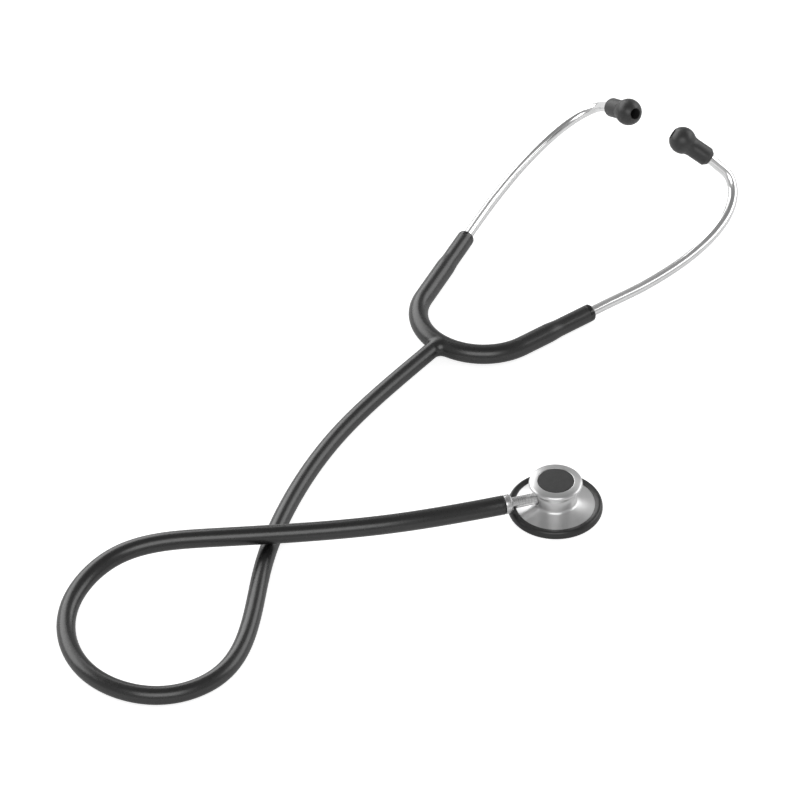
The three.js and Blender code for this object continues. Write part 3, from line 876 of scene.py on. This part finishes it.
def build_ear_tube(leg):
    """A chromed tube from inside its leg to inside its ear tip."""
    node = f"{leg.side}_ear_tube"
    inner_end = leg.end - 40 * MM * leg.direction
    found = in_order(rings(corners(node), 2.5 * MM), inner_end)
    path = Path([ring.middle for ring in found])
    outer, inner = found[0].outer, found[0].inner
    outside = stations(path, 0, path.length, lambda _: outer, 1.2 * MM)
    edge = 0.15 * MM
    middle, direction, _ = outside.pop()
    outside += [(middle - edge * direction, direction, outer), (middle, direction, outer - edge)]
    inside = stations(path, 0, path.length, lambda _: inner, 2.4 * MM)
    tube = sweep(f"{leg.side}_tube_chromed", outside, inside)
    dress(tube, "chrome", node, [node])


def ear_tip_outline(length, ball, skirt, bore):
    """Half section of an ear tip from the skirt's mouth: skirt, waist, ball, nose and bore."""
    ball_middle = length - 0.955 * ball
    waist_angle, nose_angle = -38, 63.5
    ball_arc = arc_points((0, ball_middle), ball, waist_angle, nose_angle, 30)
    bevel_depth, bevel_length, skirt_end = 1.7, 2.1, 9.8
    mouth = [(bore + 0.2, 0), (skirt - bevel_depth, 0), (skirt, bevel_length), (skirt, skirt_end)]
    outline = rounded(mouth, 0.35)
    outline += curve_points((skirt, skirt_end), (skirt - 0.05, skirt_end + 2), ball_arc[0], 12)
    outline += ball_arc[1:]
    nose = ball_arc[-1][1]
    outline += curve_points(ball_arc[-1], (bore + 0.05, nose + 0.08), (bore, nose - 0.12), 4)
    socket_end, socket_flare = 4, 1
    outline += [(bore, socket_end), (bore + 0.3, socket_flare)]
    return outline


def build_ear_tip(leg):
    """A soft ear tip on its tube, with an open sound hole."""
    node = f"{leg.side}_ear_tip"
    direction = axis(f"{leg.side}_ear_tip_pull")
    middle = Vector(corners(node).mean(axis=0))
    along, across = turned_corners(node, middle, direction)
    origin = middle + direction * float(along.min())
    skirt = across[along < along.min() + 6 * MM].max()
    bore = across[along < 0].min()
    sizes = [float(value) / MM for value in (np.ptp(along), across.max(), skirt, bore)]
    tip = turn(f"{leg.side}_tip_soft", ear_tip_outline(*sizes), origin, direction, 96)
    dress(tip, "ear_tip", node, [node])
    # paints shade into the sound hole: its faces get a near-black material
    paint_shade_in_hole(tip, origin, direction, bore)


def paint_shade_in_hole(tip, origin, direction, bore):
    """Paints the faces inside the sound hole a duller black: painted shade, as little light gets in
    there.
    """
    tip.data.materials.append(MATERIALS["sound_hole"])
    for face in tip.data.polygons:
        offset = face.center - origin
        across = (offset - offset.dot(direction) * direction).length
        face.material_index = int(across < bore + 0.02 * MM)


# ---------------------------------------------------------------- chest piece

STEM_HEIGHT = pivot("chest_piece_turn").z / MM


def reach_of(node):
    """Outer radius, lowest and highest height of a node turned about the Z axis, in millimetres."""
    low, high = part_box(node)
    return high.x / MM, low.z / MM, high.z / MM


def stem_line(distance):
    """A point on the stem's axis, this many millimetres from the chest piece's axis."""
    return Vector((-distance * MM, 0, STEM_HEIGHT * MM))


def rod(name, radius, start, end, facets=48):
    """A plain round tool between two points, its radius in millimetres."""
    direction = (end - start).normalized()
    return skin(name, [circle(place, direction, radius * MM, facets) for place in (start, end)])


def build_chest_body():
    """The turned body: bell cavity, flange, flare, cove, neck and threaded boss."""
    flange, seat, boss_top = reach_of("chest_body")
    shoulder = seat + 1.5
    flare = flange - 2
    neck = 10.1
    collar = neck + 1.2
    boss = 9.6
    bell_roof = 3.8
    outline = [(0, bell_roof), (4, bell_roof), (flare - 0.7, seat), (flange, seat)]
    flare_top = (flare, 3.55)
    outline = rounded([*outline, (flange, shoulder), (flare, shoulder), flare_top], 0.2)
    cove = (11.3, 5.55)
    outline += curve_points(flare_top, (14.4, 4.3), cove, 24)
    outline += curve_points(cove, (neck, 6.0), (neck, 7.3), 10)
    groove, half_groove = 12.35, 0.2
    groove_foot, groove_top = (neck, groove - half_groove), (neck, groove + half_groove)
    outline += [groove_foot, *curve_points(groove_foot, (neck - 0.16, groove), groove_top, 4)]
    neck_top, under_collar = (neck, 12.9), (collar - 0.25, 13.95)
    outline += [neck_top, *curve_points(neck_top, (neck, 13.75), under_collar, 8)]
    outline += curve_points(under_collar, (collar, 14.0), (collar, 14.2), 4)
    collar_top = 14.9
    collar_edge = [(collar, 14.3), (collar, collar_top), (boss, collar_top), (boss, boss_top)]
    outline += rounded(collar_edge, 0.12)
    outline += [(8.2, boss_top), (7.5, boss_top - 0.6), (2, boss_top - 1.4), (0, boss_top - 1.4)]
    body = turn("chest_body_turned", outline, facets=192)
    bore = rod("bore", 2.9, stem_line(-0.5), stem_line(13))
    mouth = rod("mouth", 3.35, stem_line(neck - 1.6), stem_line(13))
    detent_place = stem_line(5)
    detent = rod("detent", 1.3, detent_place, detent_place + Vector((0, 13 * MM, 0)), 40)
    body = cut(body, bore, mouth, detent)
    dress(body, "aluminium", "chest_piece", ["chest_body"])


def build_retaining_ring():
    """The ring on top, with a rounded lip and a crisp window."""
    lip, low, high = reach_of("retaining_ring")
    window = 8.8
    thread = 9.75
    roof = low + 2.35  # of the threaded recess
    foot, widest, shoulder = (11.3, low), (lip, low + 1.25), (lip - 1.0, high - 0.32)
    outline = [(thread, roof), (thread, low + 0.2), (thread + 0.2, low), foot]
    outline += curve_points(foot, (lip - 0.15, low + 0.05), widest, 12)
    outline += curve_points(widest, (lip, low + 2.3), shoulder, 14)
    edge = (window + 0.35, high - 0.02)
    outline += [edge, *curve_points(edge, (window, high), (window, high - 0.3), 5)]
    outline += [(window, roof)]
    ring = turn("retaining_ring_turned", outline, facets=192)
    dress(ring, "aluminium", "retaining_ring", ["retaining_ring"])


def build_small_diaphragm():
    """The dark disc in the ring's window, with a slightly rounded rim."""
    edge, low, high = reach_of("small_diaphragm")
    window = 8.68
    under, lip = high - 0.45, low + 0.35
    outline = [(0, under), (8.3, under), (8.45, low), (edge, low), (edge, lip), (window, lip)]
    rim = (window, high - 0.25)
    outline += [rim, *curve_points(rim, (window, high - 0.02), (window - 0.4, high), 5)]
    outline += [(4, high), (0, high)]
    disc = turn("small_diaphragm_matte", outline, facets=160)
    dress(disc, "dark_disc", "chest_piece", ["small_diaphragm"])


def build_rim():
    """The rubber rim: a soft lip over the flange, a rounded shoulder and a thin foot."""
    outer, low, high = reach_of("diaphragm_rim")
    body_edge, _, _ = reach_of("chest_body")
    groove = body_edge + 0.1
    flare = body_edge - 2
    foot, widest, shoulder = (outer - 1.4, low), (outer, low + 1.5), (outer - 1.2, high - 0.05)
    lip, lip_edge = (flare + 0.75, 3.98), (flare + 0.12, 3.6)
    outline = [(groove, 3.15), (groove, 0.85), (20.1, 0.85), (20.1, low + 0.2), (20.7, low), foot]
    outline += curve_points(foot, (outer - 0.05, low + 0.1), widest, 12)
    outline += curve_points(widest, (outer - 0.05, high - 0.45), shoulder, 14)
    outline += curve_points(shoulder, (outer - 1.9, high + 0.02), lip, 8)
    outline += curve_points(lip, (flare + 0.15, 3.85), lip_edge, 5)
    outline += [(flare + 0.2, 3.15)]
    rim = turn("rim_moulded", outline, facets=192)
    dress(rim, "rim_rubber", "chest_piece", ["diaphragm_rim"])


def build_large_diaphragm():
    """The stiff disc under the base, its edge stepped up behind the rim's lip."""
    edge, low, _ = reach_of("large_diaphragm")
    thickness, step = 0.45, 0.95
    flat, upper = 19.0, low + step + thickness
    outline = [(0, low), (flat, low), (flat + 0.4, low + 0.05), (19.75, low + step)]
    outline += [(edge, low + step), (edge, upper), (flat + 0.4, upper)]
    outline += [(flat, low + thickness), (0, low + thickness)]
    disc = turn("large_diaphragm_moulded", rounded(outline, 0.1), facets=192)
    dress(disc, "clear_resin", "chest_piece", ["large_diaphragm"])


def stem_outline(collar_start, collar_end, nipple_end, shaft, collar):
    """Half section of the stem along its axis, with the pin's groove, the barb and the bore."""
    nipple = 2.7
    bore = 1.3
    shaft_start, pin_start, pin_end, pin_floor = 0.8, 1.55, 2.85, 1.9
    outline = [(0, shaft_start), (shaft, shaft_start), (shaft, pin_start), (pin_floor, pin_start)]
    outline += [(pin_floor, pin_end), (shaft, pin_end)]
    outline += [(shaft, collar_start), (collar - 0.75, collar_start)]
    outline += [(collar - 0.05, collar_start + 0.7), (collar, collar_start + 1)]
    outline += [(collar, collar_end), (nipple, collar_end), (nipple, nipple_end - 3)]
    outline += [(nipple + 0.2, nipple_end - 3), (nipple - 0.3, nipple_end), (bore, nipple_end)]
    bore_end = 6.3
    outline += [(bore, bore_end), (0, bore_end)]
    return rounded(outline, 0.15)


def dimple(name, side):
    """A ball that cuts the dimple for the detent ball into the stem's side."""
    low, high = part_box("detent_ball")
    ball = (low + high) / 2
    clearance = 0.08
    radius = (high.x - low.x) / 2 / MM + clearance
    drop = JOINTS["detent_ball_drop"]["range_m"][1]
    middle = Vector((ball.x, side * (ball.y - drop), ball.z))
    arc = arc_points((0, 0), radius, -90, 90, 16)
    outline = [(0, -radius), *arc[1:-1], (0, radius)]
    return turn(name, outline, middle, Vector((0, side, 0)), 32)


def build_stem():
    """The stem with its collar and hose nipple, an index mark on top and its side port."""
    along, across = turned_corners("stem", stem_line(0), Vector((-1, 0, 0)))
    along, across = along / MM, across / MM
    nipple_end = float(along.max())
    collar = float(across.max())
    collar_end = float(along[across > collar - 0.02].max())
    collar_start = float(along[across > collar - 0.9].min())
    outline = stem_outline(collar_start, collar_end, nipple_end, 2.75, collar)
    stem = turn("stem_turned", outline, stem_line(0), Vector((-1, 0, 0)), 96)
    mark_foot = stem_line(12.6) + 2.6 * MM * UP
    mark = rod("mark", 0.55, mark_foot, mark_foot + 2.4 * MM * UP, 24)
    port_foot = stem_line(7.8)
    port = rod("port", 1, port_foot, port_foot + 4 * MM * UP, 32)
    stem = cut(stem, mark, port, dimple("front_dimple", 1), dimple("back_dimple", -1))
    dress(stem, "aluminium", "hose_end", ["stem"], "stem")


def build_detent_screw():
    """The grub screw that closes the detent's bore, with a hexagon socket."""
    low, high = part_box("detent_screw")
    middle = (low + high) / 2
    radius = (high.x - low.x) / 2
    out = Vector((0, 1, 0))
    facets = 48

    def hexagon(height, size):
        centre = Vector((middle.x, height, middle.z))
        points = []
        for index, point in enumerate(circle(centre, out, size, facets)):
            angle = (2 * math.pi * index / facets) % (math.pi / 3) - math.pi / 6
            points.append(centre + (point - centre) * math.cos(math.pi / 6) / math.cos(angle))
        return points

    def round_at(height, size):
        return circle(Vector((middle.x, height, middle.z)), out, size, facets)

    edge = 0.15 * MM
    socket = 0.6 * MM
    depth = high.y - 0.9 * MM
    loops = [
        round_at(low.y, radius - edge),
        round_at(low.y + edge, radius),
        round_at(high.y - edge, radius),
        round_at(high.y, radius - edge),
        hexagon(high.y, socket + 0.05 * MM),
        hexagon(high.y - 0.05 * MM, socket),
        hexagon(depth, socket),
        [Vector((middle.x, depth - 0.2 * MM, middle.z))],
    ]
    screw = skin("detent_screw_machined", loops)
    dress(screw, "steel", "chest_piece", ["detent_screw"])


def finish_inner_nodes():
    """The CAD pieces that stay inside get spring steel."""
    inner = ["spring_bow", "left_spring_arm", "right_spring_arm"]
    inner += ["detent_ball", "detent_spring", "retaining_pin"]
    for node in inner:
        frame["nodes"][node].data.materials.clear()
        frame["nodes"][node].data.materials.append(MATERIALS["steel"])


# ---------------------------------------------------------------- studio


def build_floor():
    """A plain white table. The camera sees it lifted to white, with only a breath of shadow."""
    mesh = bmesh.new()
    mesh.faces.new([mesh.verts.new((x, y, 0)) for x, y in ((-8, -8), (8, -8), (8, 8), (-8, 8))])
    floor = piece_from("floor", mesh)
    finish = Finish("table_white", Roughness=0.9)
    seen = finish.node("LightPath").outputs["Is Camera Ray"]
    lift = finish.between(seen, 0.12, 0.72, 0, 1)
    finish.feed(finish.surface, {
        "Base Color": finish.tint(finish.grain(30 * MM, 2), 0.70, 0.72),
        "Specular IOR Level": 0.1,
        "Emission Color": (1, 1, 1, 1),
        "Emission Strength": lift,
    })
    floor.data.materials.append(finish.material)


def build_world():
    """A studio dome: soft walls, with a dim ceiling that draws the dark lines on the tubes."""
    world = bpy.data.worlds.new("studio")
    bpy.context.scene.world = world
    world.use_nodes = True
    tree = world.node_tree
    place = tree.nodes.new("ShaderNodeTexCoord")
    parts = tree.nodes.new("ShaderNodeSeparateXYZ")
    ramp = tree.nodes.new("ShaderNodeValToRGB")
    tree.links.new(place.outputs["Generated"], parts.inputs["Vector"])
    tree.links.new(parts.outputs["Z"], ramp.inputs["Fac"])
    tree.links.new(ramp.outputs["Color"], tree.nodes["Background"].inputs["Color"])
    levels = [(0.0, 0.5), (0.3, 0.46), (0.65, 0.36), (1.0, 0.24)]
    while len(ramp.color_ramp.elements) < len(levels):
        ramp.color_ramp.elements.new(0.5)
    for element, (height, level) in zip(ramp.color_ramp.elements, levels):
        element.position = height
        element.color = (level, level, level, 1)


CAMERA_AZIMUTH = math.radians(-17.1)
INTO_PICTURE = Vector((-math.sin(CAMERA_AZIMUTH), math.cos(CAMERA_AZIMUTH), 0))
ACROSS_PICTURE = Vector((math.cos(CAMERA_AZIMUTH), math.sin(CAMERA_AZIMUTH), 0))


def add_softbox(name, azimuth, elevation, width, height, radiance):
    """A soft light two metres away, at an azimuth that is 0 behind the object and 90 to its right."""
    target = sum(CAD_BOX, Vector()) / 2
    heading, tilt = math.radians(azimuth), math.radians(elevation)
    level = math.cos(heading) * INTO_PICTURE + math.sin(heading) * ACROSS_PICTURE
    place = target + 2 * (math.cos(tilt) * level + math.sin(tilt) * UP)
    light = bpy.data.lights.new(name, "AREA")
    light.shape = "RECTANGLE"
    light.size = width
    light.size_y = height
    light.energy = 4 * width * height * radiance
    lamp = bpy.data.objects.new(name, light)
    bpy.context.scene.collection.objects.link(lamp)
    lamp.location = place
    lamp.rotation_mode = "QUATERNION"
    lamp.rotation_quaternion = (target - place).to_track_quat("-Z", "Y")
    lamp.visible_camera = False


def build_lights():
    """Three soft boxes: the main one behind to the left, one to the right, one by the camera."""
    add_softbox("left_box", azimuth=-50, elevation=30, width=3.1, height=1.5, radiance=1.75)
    add_softbox("right_box", azimuth=66, elevation=28, width=2.0, height=1.1, radiance=1.4)
    add_softbox("front_box", azimuth=180, elevation=42, width=1.6, height=1.2, radiance=1.75)


def build_camera():
    """A long lens that looks down on the table from the front left."""
    pitch = math.radians(40.31)
    target = Vector((-47.6, 99.4, 0)) * MM
    distance = 2472 * MM
    data = bpy.data.cameras.new("camera")
    data.lens = 225
    data.sensor_width = 36
    data.clip_end = 50
    camera = bpy.data.objects.new("camera", data)
    bpy.context.scene.collection.objects.link(camera)
    look = math.cos(pitch) * INTO_PICTURE - math.sin(pitch) * UP
    camera.location = target - distance * look
    camera.rotation_mode = "QUATERNION"
    camera.rotation_quaternion = look.to_track_quat("-Z", "Y")
    bpy.context.scene.camera = camera


# ---------------------------------------------------------------- assembly

build_yoke_centre()
for one_leg in LEGS.values():
    build_arm(one_leg)
    build_band(one_leg)
    build_ear_tube(one_leg)
    build_ear_tip(one_leg)
build_hose()
build_chest_body()
build_retaining_ring()
build_small_diaphragm()
build_rim()
build_large_diaphragm()
build_stem()
build_detent_screw()
finish_inner_nodes()
build_floor()
build_world()
build_lights()
build_camera()
bpy.context.scene.view_settings.view_transform = "Standard"
